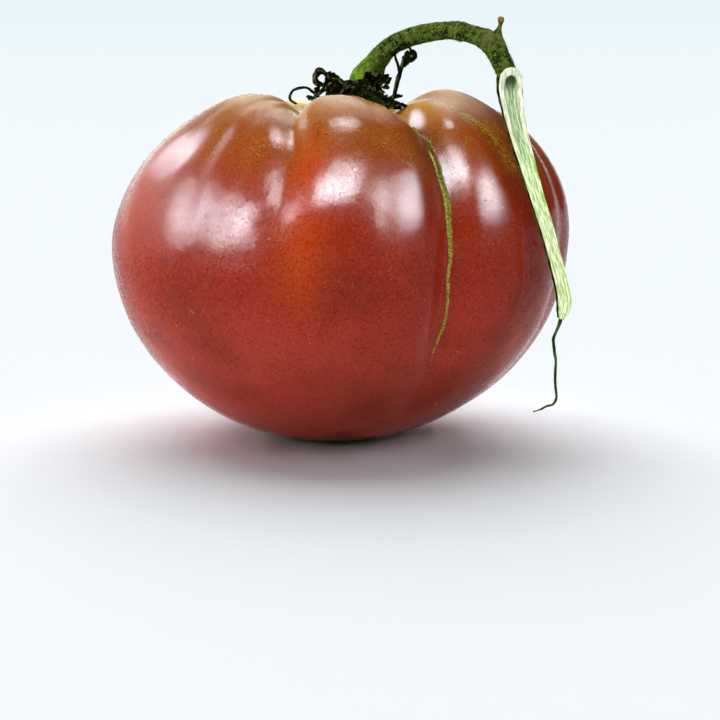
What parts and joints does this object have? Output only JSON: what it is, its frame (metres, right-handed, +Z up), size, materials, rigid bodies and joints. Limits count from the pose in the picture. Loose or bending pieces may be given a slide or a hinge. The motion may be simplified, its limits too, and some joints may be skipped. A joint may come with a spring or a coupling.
{
  "type": "beefsteak tomato",
  "caption": "Ribbed, flattened beefsteak tomato with a curled dry calyx, an arched stem and a torn sliver of vine, resting on its flat blossom end.",
  "frame": {"origin": "middle of the flat spot at the blossom end that the fruit rests on", "axes": "+Z up through the stem cavity, +X to the right along the widest span, where the stem arches to, and -Y towards the viewer of the seamed side"},
  "size_m": [0.1016, 0.0964, 0.0943],
  "materials": {
    "skin": "thin, waxy, glossy tomato skin, brick red with olive shoulders",
    "dry_sepal": "dried, papery, almost black green",
    "green_stem": "dull green with brown mottling and fine down",
    "split_vine": "freshly split, fibrous, pale green",
    "bark": "dark, dry bark fibre"
  },
  "bodies": {
    "root": {"fruit": "skin", "calyx": "dry_sepal", "stem": "green_stem", "vine_strip": "split_vine", "bark_thread": "bark"}
  },
  "joints": []
}
